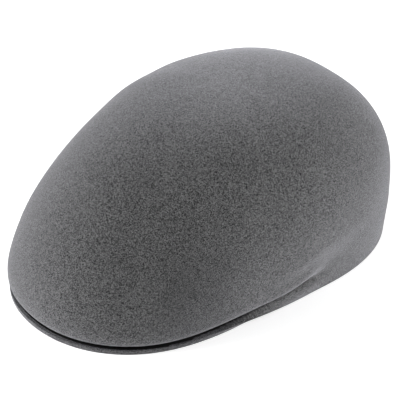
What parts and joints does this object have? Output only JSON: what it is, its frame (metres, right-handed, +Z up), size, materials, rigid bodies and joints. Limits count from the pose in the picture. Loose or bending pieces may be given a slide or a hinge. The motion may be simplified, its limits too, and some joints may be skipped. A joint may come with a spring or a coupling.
{
  "type": "ascot cap",
  "caption": "Hard moulded wool felt cap with a full smooth dome that rolls over at the front and is tucked back above a thin built-in peak.",
  "frame": {"origin": "under the middle of the cap, in the plane that its rim rests on", "axes": "+Z up through the crown, +Y towards the back of the cap, -Y towards the peak, +X towards the wearer's left"},
  "size_m": [0.174, 0.2592, 0.116],
  "materials": {
    "felt": "matte brushed wool felt, mottled mid grey"
  },
  "bodies": {
    "root": {"felt_body": "felt"}
  },
  "joints": []
}
